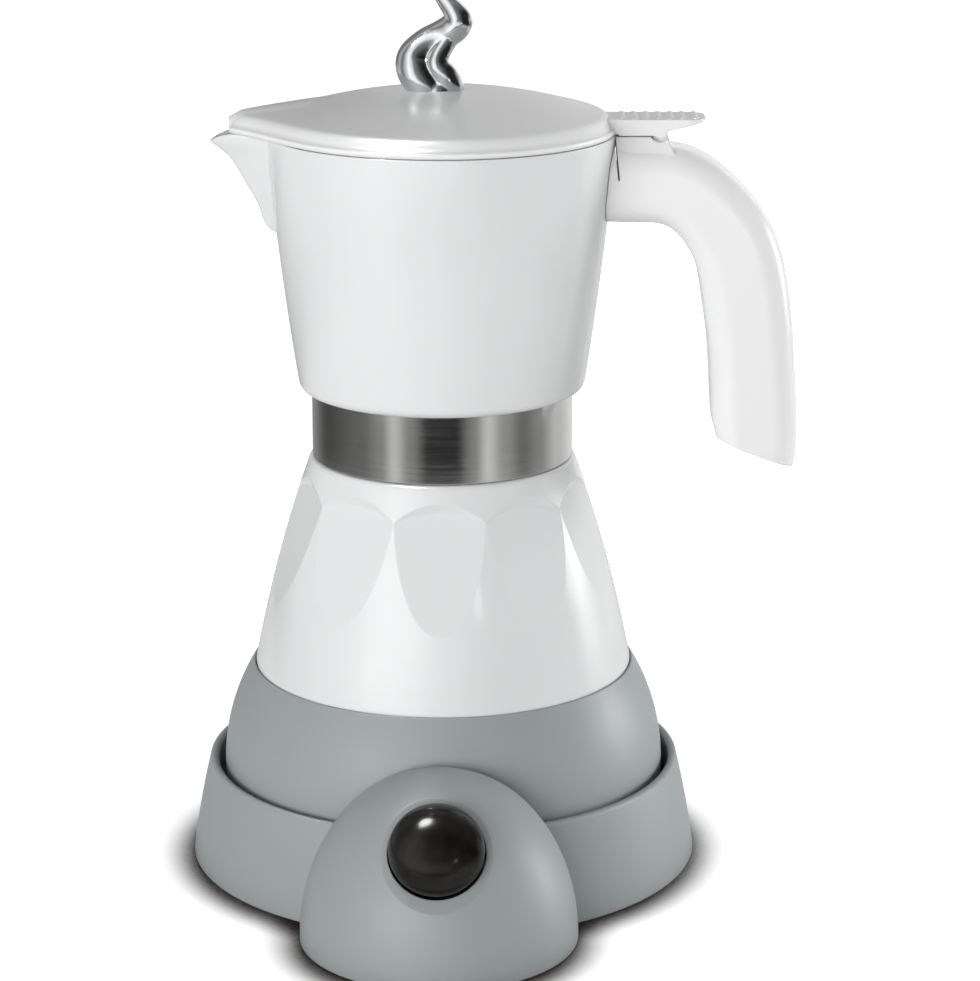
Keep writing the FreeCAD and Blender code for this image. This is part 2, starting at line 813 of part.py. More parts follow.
def beak_section(body, name, height, overhang, inset):
    # One V of the spout: overhang is how far its tip stands out from the jug's side.
    radius = jug_radius(min(height, s.rim_height.number)) - 1
    share = (min(height, s.rim_height.number) - s.beak_root.number) / (s.rim_height - s.beak_root).number
    tip = -(radius + 1 + overhang)
    half = 1.2 + (s.beak_half_width.number - 1.2) * share ** 0.8
    nose = min(2.3, 0.8 * half)
    root = -math.sqrt(radius ** 2 - half ** 2)
    if inset:
        tip += inset * 1.35
        half = max(half - inset, 0.5)
        nose = max(nose - inset * 0.7, 0.4)
        root += 4
    root = max(root, tip + 2 * nose + 0.5)
    centre = Vector(tip + nose, 0, 0)
    edge = Vector(root, half, 0)
    reach = centre - edge
    lean = math.asin(nose / reach.Length)
    way = math.atan2(reach.y, reach.x) - lean
    length = math.sqrt(reach.Length ** 2 - nose ** 2)
    touch = edge + Vector(math.cos(way), math.sin(way), 0) * length
    sketch = add_sketch(body, name, "XY_Plane", lift=height)
    draw_outline(sketch, [
        (root + 3, half), (root, half), (touch.x, touch.y, nose),
        (touch.x, -touch.y), (root, -half), (root + 3, -half),
    ])
    return sketch


def beak_loft(body, kind, name, inset, slices):
    sections = [
        beak_section(body, f"{name}_{n}", height, overhang, inset)
        for n, (height, overhang) in enumerate(slices, start=1)
    ]
    loft = feature(body, kind, name, sections[0])
    loft.Sections = sections[1:]
    return loft


def make_jug():
    wall = s.jug_wall
    body = add_body("jug")
    turn_about_axis(body, "Revolution", "vessel", [
        (0, s.jug_floor),
        (s.skirt_bore, s.jug_floor),
        (s.skirt_bore, s.skirt_bottom),
        (s.skirt_radius, s.skirt_bottom),
        (s.skirt_radius, s.jug_foot_height),
        (s.jug_foot_radius, s.jug_foot_height, s.jug_bend),
        (s.rim_radius, s.rim_height),
        (0, s.rim_height),
    ])
    round_ring(body, "foot_round", s.jug_foot_radius, s.jug_foot_height, 2.8)
    # each slice of the spout: its height, and how far its tip stands out from the jug's side
    spout = (
        (168, -0.9), (174, 0.7), (180.5, 3.9), (186, 6.2), (191, 8.5), (195.5, 11.5), (198, 14.6), (201, 15.6),
    )
    beak_loft(body, "AdditiveLoft", "beak", 0, spout)
    droop = add_sketch(body, "beak_droop_outline", "XZ_Plane")
    draw_outline(droop, [(-54, s.rim_height, 12), (-63.5, 196.5), (-66, 203), (-54, 203)])
    pull(body, "Pocket", "beak_droop", droop, 30, both_ways=True)
    lug = add_sketch(body, "lug_outline", "XZ_Plane")
    draw_outline(lug, [(43.9, 183.5), (57, 183.5), (57, 192.5), (43.9, 192.5)])
    pull(body, "Pad", "handle_lug", lug, 9, both_ways=True)
    turn_about_axis(body, "Groove", "coffee_room", [
        (0, s.jug_floor + s.jug_floor_thickness),
        (36.2, s.jug_floor + s.jug_floor_thickness, s.jug_bend),
        (s.rim_radius - wall, s.rim_height + 1),
        (0, s.rim_height + 1),
    ])
    beak_loft(body, "SubtractiveLoft", "beak_room", 1.9, (*spout[2:], (203.5, 16)))
    column = add_sketch(body, "column_circle", "XY_Plane", lift=s.jug_floor + 5)
    draw_circle(column, 0, 0, 5.2)
    pull(body, "Pocket", "column_hole", column, 8)
    screw = add_sketch(body, "screw_circle", "XY_Plane", lift=182)
    draw_circle(screw, s.handle_screw_across, 0, s.handle_screw_bore)
    pull(body, "Pocket", "screw_bore", screw, 9, reversed_way=True)
    return body


def make_coffee_column():
    low = s.jug_floor - 0.1
    floor = s.jug_floor + s.jug_floor_thickness
    body = ring_body("coffee_column", [
        (2.6, low), (5.1, low), (5.1, floor + 0.1), (9, floor + 0.1), (9, floor + 1.6),
        (6.2, floor + 4), (4.7, 184), (3.6, 187.6), (0, 190), (0, 186), (2.6, 183.4),
    ])
    slot = add_sketch(body, "slot_outline", "XZ_Plane")
    draw_outline(slot, [(-1.6, 175), (1.6, 175), (1.6, 180, 1.7), (-1.6, 180)])
    pull(body, "Pocket", "side_slots", slot, 14, both_ways=True)
    return body


def grip_section(body, name, near, far):
    # A rounded rectangle across the grip, in the plane through its near and far sides.
    near = Vector(near[0], 0, near[1])
    far = Vector(far[0], 0, far[1])
    along = (far - near).normalize()
    side = Vector(0, 1, 0)
    turn = Rotation(along, side, along.cross(side), "XYZ")
    sketch = add_sketch(body, name, "XY_Plane", shift=(near + far) * 0.5, turn=turn)
    long = (far - near).Length / 2
    wide = s.handle_width.number / 2
    bend = s.handle_round.number
    draw_outline(sketch, [
        (bend - long, -wide), (long - bend, -wide, bend), (long, bend - wide), (long, wide - bend, bend),
        (long - bend, wide), (bend - long, wide, bend), (-long, wide - bend), (-long, bend - wide, bend),
    ])
    return sketch


def make_handle():
    body = add_body("handle")
    low = s.handle_underside.number
    high = s.handle_top.number
    # each slice: the near and the far side of the grip, as seen from the front
    grip = (
        ((43, low), (43, high)),
        ((49, low), (50, high)),
        ((55, low), (57, high - 0.2)),
        ((60.6, 176.2), (67, 196.4)),
        ((65.4, 171.2), (78, 189)),
        ((68.2, 165.1), (87.2, 177.8)),
        ((70.1, 155), (92.4, 162)),
        ((71.6, 144.4), (94.3, 147.5)),
        ((72.5, 131), (95.5, 131.5)),
        ((73.4, 121.8), (96, 117.4)),
        ((74.2, 118.8), (95.2, 111)),
    )
    sections = [grip_section(body, f"grip_{n}", near, far) for n, (near, far) in enumerate(grip, start=1)]
    loft = feature(body, "AdditiveLoft", "grip", sections[0])
    loft.Sections = sections[1:]
    lug = add_sketch(body, "lug_room_outline", "XZ_Plane")
    draw_outline(lug, [(40, 183.3), (57.3, 183.3), (57.3, 192.7), (40, 192.7)])
    pull(body, "Pocket", "lug_room", lug, 9.3, both_ways=True)

    # a flared block that carries the hinge, hollowed for the lid's knuckle
    across = s.hinge_across
    level = s.hinge_height
    half = s.hinge_width / 2
    seat = add_sketch(body, "hinge_seat_outline", "XY_Plane", lift=s.hinge_seat)
    draw_outline(seat, [(44, -half), (across + 1.8, -half), (across + 1.8, half), (44, half)])
    pull(body, "Pad", "hinge_seat", seat, 4.6, reversed_way=True, taper=s.seat_flare.number)
    foot, crown = 160, 205
    turn_about_axis(body, "Groove", "jug_side", [
        (30, foot), (jug_radius(foot) + 0.1, foot, s.jug_bend), (jug_radius(crown) + 0.1, crown), (30, crown),
    ])
    slit = add_sketch(body, "slit_outline", "XZ_Plane")
    draw_outline(slit, [(45.5, 202), (46, 202), (47.25, 189.7), (46.85, 189.7)])
    pull(body, "Pocket", "slit", slit, s.handle_width * 2, both_ways=True)
    saddle = add_sketch(body, "saddle_circle", "XZ_Plane")
    draw_circle(saddle, across, level, s.hinge_radius + 1)
    pull(body, "Pocket", "saddle", saddle, s.hinge_width * 2, both_ways=True)
    for side in (-1, 1):
        ear = add_sketch(body, f"ear_outline_{side + 2}", "XZ_Plane", lift=s.ear_middle * side)
        draw_outline(ear, [
            (across - s.ear_radius, 196),
            (across + s.ear_radius, 196),
            (across + s.ear_radius, level, s.ear_radius),
            (across - s.ear_radius, level),
        ])
        pull(body, "Pad", f"ear_{side + 2}", ear, s.ear_thickness, both_ways=True)
    pin = add_sketch(body, "pin_circle", "XZ_Plane")
    draw_circle(pin, across, level, s.pin_radius + 0.02)
    pull(body, "Pocket", "pin_bore", pin, s.hinge_width, both_ways=True)
    bore = add_sketch(body, "screw_circle", "XY_Plane", lift=183.5)
    draw_circle(bore, s.handle_screw_across, 0, s.handle_screw_bore + 0.4)
    pull(body, "Pocket", "screw_hole", bore, 8)
    head = add_sketch(body, "screw_head_circle", "XY_Plane", lift=s.handle_screw_seat)
    draw_circle(head, s.handle_screw_across, 0, 3.3)
    pull(body, "Pocket", "screw_head_room", head, 6)
    return body


def lid_beak_section(body, name, across, half, crown, inset):
    # A slice of the lid's beak: a flat flange with a rounded ridge on it.
    low = s.lid_level if not inset else s.lid_level - 1
    step = s.lid_level + s.lid_edge - (1.2 if inset else 0)
    ridge = half - 1.4 - inset
    flange = ridge + 0.2 if inset else half
    rise = crown - inset - step.number
    bend = (ridge ** 2 + rise ** 2) / (2 * rise)
    sketch = add_sketch(body, name, "YZ_Plane", lift=across)
    draw_outline(sketch, [
        (-flange, low), (flange, low), (flange, step), (ridge, step, bend), (-ridge, step), (-flange, step),
    ])
    return sketch


def lid_beak(body, kind, name, inset, slices):
    sections = [
        lid_beak_section(body, f"{name}_{n}", across, half, crown, inset)
        for n, (across, half, crown) in enumerate(slices, start=1)
    ]
    loft = feature(body, kind, name, sections[0])
    loft.Sections = sections[1:]
    return loft


def make_lid():
    body = add_body("lid")
    top = s.lid_level + s.lid_edge
    wall = s.lid_wall
    turn_about_axis(body, "Revolution", "dome", [
        (0, s.lid_level),
        (s.lid_radius, s.lid_level),
        (s.lid_radius, top - 0.5, 0.5),
        (s.lid_radius - 0.5, top),
        (s.lid_radius - 0.8, top, 9),
        (42.1, 206.1, 140),
        (8, s.lid_apex),
        (0, s.lid_apex),
    ])
    # each slice: its distance along X, the flange's half width and the ridge's height
    tip = -s.lid_beak.number
    slices = ((-33, 10.6, 208.7), (-40, 10.2, 207.7), (-47, 7.6, 206.9), (-53, 4.9, 206), (tip, 3.6, 205.1))
    lid_beak(body, "AdditiveLoft", "beak", 0, slices)

    across = s.hinge_across
    level = s.hinge_height
    tab = add_sketch(body, "tab_outline", "XZ_Plane")
    draw_outline(tab, [
        (38, s.tab_underside),
        (across + 2.2, s.tab_underside),
        (s.tab_reach, s.tab_top - 0.7),
        (s.tab_reach, s.tab_top),
        (44.5, s.tab_top, -14),
        (38, 207.1),
    ])
    pull(body, "Pad", "tab", tab, s.tab_width, both_ways=True)
    reach = s.tab_reach.number

    def tab_corner(edge):
        box = edge.BoundBox
        return box.ZLength > 0.4 and box.XMin > reach - 0.1 and box.YLength < 0.01

    round_edges(body, "tab_corners", 4.5, tab_corner)
    block = add_sketch(body, "block_outline", "XZ_Plane")
    draw_outline(block, [
        (45, s.lid_level + 0.1),
        (s.rim_radius + 0.4, s.lid_level + 0.1),
        (s.rim_radius + 0.4, s.hinge_seat + 0.3),
        (across, s.hinge_seat + 0.3),
        (across, s.tab_underside + 1),
        (45, s.tab_underside + 1),
    ])
    pull(body, "Pad", "hinge_block", block, s.hinge_width, both_ways=True)
    knuckle = add_sketch(body, "knuckle_outline", "XZ_Plane")
    draw_outline(knuckle, [
        (across - s.hinge_radius, level, s.hinge_radius),
        (across + s.hinge_radius, level),
        (across + s.hinge_radius, level + 1.4),
        (across - s.hinge_radius, level + 1.4),
    ])
    pull(body, "Pad", "knuckle", knuckle, s.hinge_width, both_ways=True)
    for side in (-1, 1):
        room = add_sketch(body, f"ear_room_outline_{side + 2}", "XZ_Plane", lift=s.ear_middle * side)
        draw_outline(room, [
            (across - 2.2, 199), (across + 3.2, 199), (across + 3.2, level + 2.05), (across - 2.2, level + 2.05),
        ])
        pull(body, "Pocket", f"ear_room_{side + 2}", room, s.ear_thickness + 0.5, both_ways=True)
    pin = add_sketch(body, "pin_circle", "XZ_Plane", lift=-0.45)
    draw_circle(pin, across, level, s.pin_radius + 0.06)
    pull(body, "Pocket", "pin_bore", pin, s.hinge_width - 0.5, both_ways=True)

    rib = add_sketch(body, "rib_outline", "XZ_Plane")
    draw_outline(rib, [
        (47.2, s.tab_top - 0.2), (48.8, s.tab_top - 0.2), (48.8, s.tab_top),
        (48.4, s.tab_top + 0.35), (47.6, s.tab_top + 0.35), (47.2, s.tab_top),
    ])
    ridge = pull(body, "Pad", "rib", rib, s.tab_width - 2, both_ways=True)
    row = body.newObject("PartDesign::LinearPattern", "ribs")
    row.Originals = [ridge]
    row.Direction = (next(item for item in body.Origin.OriginFeatures if item.Role == "X_Axis"), [""])
    set_size(row, "Length", s.rib_pitch * (s.rib_count - 1))
    row.Occurrences = int(s.rib_count.number)
    row.setExpression("Occurrences", s.rib_count.formula)
    body.Tip = row

    turn_about_axis(body, "Groove", "hollow", [
        (0, s.lid_level - 1),
        (42, s.lid_level - 1),
        (42, top, 2.6),
        (40.6, 204.4, 130),
        (8, s.lid_apex - wall),
        (0, s.lid_apex - wall),
    ])
    lid_beak(body, "SubtractiveLoft", "beak_room", wall.number, slices[1:4])
    turn_about_axis(body, "Revolution", "locating_lip", [
        (42, s.lid_level - 2.7), (43.2, s.lid_level - 2.7), (43.2, s.lid_level + 0.4), (42, s.lid_level + 0.4),
    ])
    gate = add_sketch(body, "spout_gate_outline", "XZ_Plane")
    draw_outline(gate, [(-50, 198), (-35, 198), (-35, s.lid_level), (-50, s.lid_level)])
    pull(body, "Pocket", "spout_gate", gate, 22, both_ways=True)
    screw = add_sketch(body, "screw_circle", "XY_Plane", lift=s.lid_apex + 1)
    draw_circle(screw, 0, 0, 1.7)
    pull(body, "Pocket", "screw_hole", screw, 5)
    return body


def strand(path, radii):
    # A rope-like solid through circles that stand square to a smooth path.
    curve = Part.BSplineCurve()
    curve.interpolate([Vector(*point) for point in path])
    rings = []
    for point, radius in zip(path, radii):
        at = curve.parameter(Vector(*point))
        ring = Part.Circle(Vector(*point), curve.tangent(at)[0], radius)
        rings.append(Part.Wire([ring.toShape()]))
    return Part.makeLoft(rings, True, False)


def make_knob():
    # One thick strand winds up and around to the pointed top; a short lobe lies against it.
    tall = strand(
        [
            (-3.5, -1.5, 209), (-5.5, -1.5, 214), (-7.3, 0, 218), (-5.5, 2, 222),
            (-1, 3, 225.3), (3.5, 1.5, 228.2), (4.8, -0.5, 230), (3.9, -2, 232.3),
            (1.2, -2.2, 235.3), (-1.2, -1, 238.5), (-2, 0.5, 241.5), (-2.1, 1.3, 243.6),
        ],
        [4.4, 4.6, 4.8, 4.7, 4.6, 4.1, 3.8, 3.1, 2.3, 1.7, 1.1, 0.5],
    )
    short = strand(
        [(1.8, -1, 209), (2, -1.5, 213.5), (0.8, -2, 217), (-1.2, -1.5, 220), (-2.5, 0.5, 223)],
        [4.2, 4.1, 3.7, 3.2, 2.6],
    )
    seat = s.lid_apex.number + 0.05
    below = Part.makeBox(40, 40, 20, Vector(-20, -20, seat - 20))
    bore = Part.makeCylinder(1.3, 8, Vector(0, 0, seat - 1))
    knob = document.addObject("Part::Feature", "lid_knob")
    knob.Label = "lid_knob"
    knob.Shape = tall.fuse(short).cut(below).cut(bore).removeSplitter()
    return knob


def make_valve_body():
    body = add_body("safety_valve_body")
    turn_about_axis(body, "Revolution", "barrel", [(0, -6.5), (3.95, -6.5), (3.95, 0.5), (0, 0.5)])
    flats = add_sketch(body, "hexagon", "XY_Plane")
    across = 5.6
    draw_outline(flats, [
        (across * math.cos(math.radians(60 * n)), across * math.sin(math.radians(60 * n))) for n in range(6)
    ])
    pull(body, "Pad", "hexagon_head", flats, 5)
    turn_about_axis(body, "Groove", "bore", [
        (0, -7), (1.3, -7), (1.3, -5.4), (2.9, -5.4), (2.9, 3.8), (1.55, 3.8), (1.55, 6), (0, 6),
    ])
    body.Placement = valve_place()
    return body


def make_valve_pin():
    body = ring_body("safety_valve_pin", [
        (0, -5.35), (2.5, -5.35), (2.5, -4.4), (1.5, -4.4), (1.5, 6.6), (0.9, 7.2), (0, 7.2),
    ])
    body.Placement = valve_place()
    return body


def make_valve_spring():
    body = ring_body("safety_valve_spring", tube_corners(1.65, 2.6, -3.3, 3.7))
    body.Placement = valve_place()
    return body


def make_hinge_pin():
    body = ring_body("lid_hinge_pin", disc_corners(s.pin_radius, -6.2, 6.2))
    place = Vector(s.hinge_across.number, 0, s.hinge_height.number)
    body.Placement = Placement(place, Rotation(Vector(1, 0, 0), 90))
    return body


def make_placed_screw(label, head_radius, head_depth, shank_radius, length, across, level, turn=0):
    body = make_screw(label, head_radius, head_depth, shank_radius, length)
    body.Placement = Placement(Vector(across, 0, level), Rotation(Vector(1, 0, 0), turn))
    return body


def make_feet():
    pad = ring_body("foot_pad", disc_corners(s.foot_radius, 0, s.cover_lift + 0.9))
    return add_copies("rubber_feet", pad, around(s.foot_circle.number, 4, 45))


def make_base_screws():
    screw = make_screw("base_screw", 2.8, 0.9, 1.25, 7)
    lift = Placement(Vector(0, 0, s.cover_lift.number + 0.9), Rotation())
    places = [place.multiply(lift) for place in around(s.screw_circle.number, 4)]
    return add_copies("base_screws", screw, places)


def make_collar_screws():
    screw = make_screw("collar_screw", 3, 1.6, 1.5, 9)
    lift = Placement(Vector(0, 0, s.collar_screw_seat.number), Rotation())
    places = [place.multiply(lift) for place in around(s.collar_screw_circle.number, 3)]
    return add_copies("collar_screws", screw, places)


def make_pot_contacts():
    pin = ring_body("centre_pin", disc_corners(2.5, 13, 27))
    blade = ring_body("ring_blade", tube_corners(9.6, 10.6, 14, 24.5))
    return add_group("pot_contacts", [pin, blade])


nodes = [
    make_power_base_shell(),
    make_bottom_cover(),
    make_feet(),
    make_base_screws(),
    make_cord_inlet(),
    make_base_connector(),
    make_base_contacts(),
    *make_button_parts(),
    make_boiler(),
    make_heater_collar(),
    make_heating_element(),
    ring_body("heater_plate", disc_corners(38, 42, 43.9)),
    ring_body("thermostat", [(0, 33), (7.5, 33), (7.5, 40), (10, 40), (10, 41.9), (0, 41.9)]),
    make_collar_screws(),
    make_valve_body(),
    make_valve_pin(),
    make_valve_spring(),
    make_pot_connector(),
    make_pot_contacts(),
    make_funnel(),
    ring_body("gasket", tube_corners(24.6, 31.4, 127.1, 130.6)),
    make_filter_plate(),
    make_jug(),
    ring_body("steel_band", tube_corners(s.band_radius - 0.95, s.band_radius, s.band_bottom, s.band_top)),
    make_coffee_column(),
    make_handle(),
    make_placed_screw(
        "handle_screw", 3, 2, s.handle_screw_bore.number - 0.05, 9.5,
        s.handle_screw_across.number, s.handle_screw_seat.number,
    ),
    make_hinge_pin(),
    make_lid(),
    make_knob(),
    make_placed_screw("knob_screw", 3.2, 1.4, 1.25, 8, 0, s.lid_apex.number - s.lid_wall.number),
]

# Check and export
document.recompute()
for item in document.Objects:
    if "Invalid" in item.State or "Error" in item.State:
        raise RuntimeError(f"{item.Label} failed: {item.State}")
os.makedirs("parts", exist_ok=True)
for node in nodes:
    shape = node.Shape
    if shape.isNull() or not shape.isValid():
        raise RuntimeError(f"{node.Label} has no valid shape")
    shape.exportStep(f"parts/{node.Label}.step")
    box = shape.BoundBox
    spans = " x ".join(f"{span:.1f}" for span in (box.XLength, box.YLength, box.ZLength))
    print(f"{node.Label}: {len(shape.Solids)} solid(s), {spans} mm")
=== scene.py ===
import math

import bmesh
import bpy
from mathutils import Matrix, Vector


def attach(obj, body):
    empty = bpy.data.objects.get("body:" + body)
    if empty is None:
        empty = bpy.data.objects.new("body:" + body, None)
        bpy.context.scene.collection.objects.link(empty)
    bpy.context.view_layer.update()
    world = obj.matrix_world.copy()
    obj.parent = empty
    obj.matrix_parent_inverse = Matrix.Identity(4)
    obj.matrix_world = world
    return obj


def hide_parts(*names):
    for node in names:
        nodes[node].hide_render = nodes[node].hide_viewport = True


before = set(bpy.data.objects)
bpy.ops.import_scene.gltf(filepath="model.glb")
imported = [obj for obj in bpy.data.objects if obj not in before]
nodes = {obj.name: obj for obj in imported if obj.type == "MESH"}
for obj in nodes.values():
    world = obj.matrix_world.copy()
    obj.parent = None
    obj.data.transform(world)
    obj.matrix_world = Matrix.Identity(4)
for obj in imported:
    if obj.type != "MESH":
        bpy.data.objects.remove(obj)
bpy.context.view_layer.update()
print("frame loaded:", len(nodes), "nodes")


# Node helpers
def addNode(tree, kind, **values):
    # a node, with settings and sockets given by name
    node = tree.nodes.new(kind)
    for key, value in values.items():
        if hasattr(node, key):
            setattr(node, key, value)
        else:
            node.inputs[key].default_value = value
    return node


def emptyTree(holder):
    # the node tree of a material or a world, with nothing in it
    holder.use_nodes = True
    holder.node_tree.nodes.clear()
    return holder.node_tree


def feed(tree, socket, value):
    # a socket takes a link, a colour, a direction or a plain number
    if isinstance(value, bpy.types.NodeSocket):
        tree.links.new(value, socket)
    elif socket.type == "RGBA":
        socket.default_value = (*value, 1)
    else:
        socket.default_value = value


def calculate(tree, operation, first, second):
    node = addNode(tree, "ShaderNodeMath", operation=operation)
    feed(tree, node.inputs[0], first)
    feed(tree, node.inputs[1], second)
    return node.outputs[0]


def dotProduct(tree, first, second):
    node = addNode(tree, "ShaderNodeVectorMath", operation="DOT_PRODUCT")
    feed(tree, node.inputs[0], first)
    feed(tree, node.inputs[1], second)
    return node.outputs["Value"]


def splitAxes(tree, vector):
    node = addNode(tree, "ShaderNodeSeparateXYZ")
    tree.links.new(vector, node.inputs[0])
    return node.outputs


# where a mix of colours or of numbers has its two inputs and its result
mixSockets = {"RGBA": (6, 7, 2), "FLOAT": (2, 3, 0)}


def mix(tree, kind, factor, first, second):
    node = addNode(tree, "ShaderNodeMix", data_type=kind)
    firstInput, secondInput, result = mixSockets[kind]
    feed(tree, node.inputs["Factor"], factor)
    feed(tree, node.inputs[firstInput], first)
    feed(tree, node.inputs[secondInput], second)
    return node.outputs[result]


def mapRange(tree, value, levels, span=(0, 1)):
    # the ends of the span become the two levels, and nothing goes beyond them
    node = addNode(tree, "ShaderNodeMapRange")
    node.inputs["From Min"].default_value, node.inputs["From Max"].default_value = span
    node.inputs["To Min"].default_value, node.inputs["To Max"].default_value = levels
    tree.links.new(value, node.inputs["Value"])
    return node.outputs["Result"]


def objectPoint(tree, stretch=(1, 1, 1)):
    # a place on the object, stretched per axis
    place = addNode(tree, "ShaderNodeTexCoord")
    mapping = addNode(tree, "ShaderNodeMapping", Scale=stretch)
    tree.links.new(place.outputs["Object"], mapping.inputs["Vector"])
    return mapping.outputs["Vector"]


# Materials
noisePlan = {
    # the detail of each kind of unevenness, and how rough that detail is
    "cloud": (2.0, 0.5), "smudge": (4.0, 0.6), "grain": (2.0, 0.5), "lines": (4.0, 0.6), "tint": (3.0, 0.5),
    # the values of a noise between which it is spread out
    "span": (0.3, 0.7),
}
edgePlan = {
    # how finely edges are rounded, and how well rounded and plain normal agree on an edge and on flat skin
    "samples": 6, "span": (0.82, 0.99),
}


def addNoise(tree, point, kind, scale):
    detail, roughness = noisePlan[kind]
    noise = addNode(tree, "ShaderNodeTexNoise", Scale=scale, Detail=detail, Roughness=roughness)
    tree.links.new(point, noise.inputs["Vector"])
    return noise.outputs["Fac"]


def spread(tree, noise, levels):
    return mapRange(tree, noise, levels, noisePlan["span"])


def roundedNormal(tree, radius):
    return addNode(tree, "ShaderNodeBevel", samples=edgePlan["samples"], Radius=radius).outputs[0]


def edgeShare(tree, rounded):
    # 0 on flat skin, 1 on an edge
    plain = addNode(tree, "ShaderNodeNewGeometry").outputs["Normal"]
    return mapRange(tree, dotProduct(tree, rounded, plain), (1, 0), edgePlan["span"])


def addBump(tree, shader, height, distance, strength, normal):
    bump = addNode(tree, "ShaderNodeBump", Strength=strength, Distance=distance)
    tree.links.new(height, bump.inputs["Height"])
    tree.links.new(normal, bump.inputs["Normal"])
    tree.links.new(bump.outputs["Normal"], shader.inputs["Normal"])


def newMaterial(name):
    material = bpy.data.materials.new(name)
    material.use_nodes = True
    return material, material.node_tree, material.node_tree.nodes["Principled BSDF"]


def shade(colour, factor):
    return tuple(channel * factor for channel in colour)


def mouldedSurface(name, look):
    # moulded or painted skins: two tones of cloudy colour, uneven gloss, a fine grain and rubbed edges
    material, tree, shader = newMaterial(name)
    point = objectPoint(tree)
    cloud = spread(tree, addNoise(tree, point, "cloud", look["cloudScale"]), (0, 1))
    tone = mix(tree, "RGBA", cloud, shade(look["colour"], 1 - look["cloud"]), look["colour"])
    rounded = roundedNormal(tree, look["bevel"])
    rubbed = mapRange(tree, edgeShare(tree, rounded), (0, look["edge"]))
    feed(tree, shader.inputs["Base Color"], mix(tree, "RGBA", rubbed, tone, look["edgeColour"]))
    smudge = addNoise(tree, point, "smudge", look["smudgeScale"])
    feed(tree, shader.inputs["Roughness"], spread(tree, smudge, look["roughness"]))
    grain = addNoise(tree, point, "grain", look["grainScale"])
    addBump(tree, shader, grain, look["grainDepth"], look["grainStrength"], rounded)
    shader.inputs["Coat Weight"].default_value = look["coat"]
    shader.inputs["Coat Roughness"].default_value = look["coatRoughness"]
    shader.inputs["IOR"].default_value = look["ior"]
    shader.inputs["Specular IOR Level"].default_value = look["specular"]
    return material


def metalSurface(name, look):
    # metals: fine drawn lines that also vary the gloss, and a cloudy tint
    material, tree, shader = newMaterial(name)
    shader.inputs["Metallic"].default_value = 1.0
    shader.inputs["Anisotropic"].default_value = look["anisotropy"]
    lines = addNoise(tree, objectPoint(tree, look["lineStretch"]), "lines", look["lineScale"])
    tint = spread(tree, addNoise(tree, objectPoint(tree), "tint", look["cloudScale"]), (0, 1))
    feed(tree, shader.inputs["Base Color"], mix(tree, "RGBA", tint, look["dark"], look["light"]))
    feed(tree, shader.inputs["Roughness"], spread(tree, lines, look["roughness"]))
    rounded = roundedNormal(tree, look["bevel"])
    addBump(tree, shader, lines, look["lineDepth"], look["lineStrength"], rounded)
    return material


def dress(names, material):
    for name in names:
        mesh = nodes[name].data
        mesh.materials.clear()
        mesh.materials.append(material)


whiteEnamel = {
    "colour": (0.80, 0.81, 0.815), "cloud": 0.012, "cloudScale": 14,
    "edge": 0.25, "edgeColour": (0.86, 0.86, 0.86), "bevel": 0.0006,
    "roughness": (0.16, 0.24), "smudgeScale": 38,
    "grainScale": 900, "grainDepth": 0.00001, "grainStrength": 0.05,
    "coat": 0.35, "coatRoughness": 0.06, "ior": 1.5, "specular": 0.5,
}
dress(["jug", "boiler"], mouldedSurface("whiteEnamel", whiteEnamel))

whitePlastic = {
    "colour": (0.88, 0.885, 0.885), "cloud": 0.012, "cloudScale": 20,
    "edge": 0.2, "edgeColour": (0.90, 0.90, 0.90), "bevel": 0.0006,
    "roughness": (0.20, 0.26), "smudgeScale": 45,
    "grainScale": 1200, "grainDepth": 0.00001, "grainStrength": 0.05,
    "coat": 0.15, "coatRoughness": 0.1, "ior": 1.48, "specular": 0.5,
}
# the handle's white is a little lighter than the lid's: painted light, standing in for the brighter light it
# gets from the right
handleLitLook = dict(whitePlastic, colour=(0.905, 0.905, 0.905))
dress(["handle"], mouldedSurface("handleLitWhite", handleLitLook))

lidLook = dict(whitePlastic, roughness=(0.28, 0.34), coat=0.08)
lidWhite = mouldedSurface("lidWhite", lidLook)
dress(["lid"], lidWhite)

greyPlastic = {
    "colour": (0.335, 0.365, 0.37), "cloud": 0.03, "cloudScale": 18,
    "edge": 0.35, "edgeColour": (0.46, 0.49, 0.49), "bevel": 0.0005,
    "roughness": (0.40, 0.5), "smudgeScale": 30,
    "grainScale": 3200, "grainDepth": 0.00004, "grainStrength": 0.3,
    "coat": 0.0, "coatRoughness": 0.2, "ior": 1.47, "specular": 0.5,
}
dress(["power_base_shell", "base_bottom_cover", "heater_collar"], mouldedSurface("greyPlastic", greyPlastic))

darkPlastic = {
    "colour": (0.02, 0.02, 0.021), "cloud": 0.2, "cloudScale": 30,
    "edge": 0.3, "edgeColour": (0.06, 0.06, 0.06), "bevel": 0.0005,
    "roughness": (0.45, 0.6), "smudgeScale": 50,
    "grainScale": 3000, "grainDepth": 0.00004, "grainStrength": 0.3,
    "coat": 0.0, "coatRoughness": 0.2, "ior": 1.47, "specular": 0.5,
}
dress(
    ["cord_inlet", "base_connector", "pot_connector", "button_plunger", "switch_body", "switch_holder"],
    mouldedSurface("darkPlastic", darkPlastic),
)

blackRubber = dict(darkPlastic, colour=(0.018, 0.018, 0.018), roughness=(0.7, 0.85), grainStrength=0.5)
dress(["rubber_feet"], mouldedSurface("blackRubber", blackRubber))

paleSilicone = dict(whitePlastic, colour=(0.72, 0.70, 0.64), roughness=(0.5, 0.62), coat=0.0)
dress(["gasket"], mouldedSurface("paleSilicone", paleSilicone))

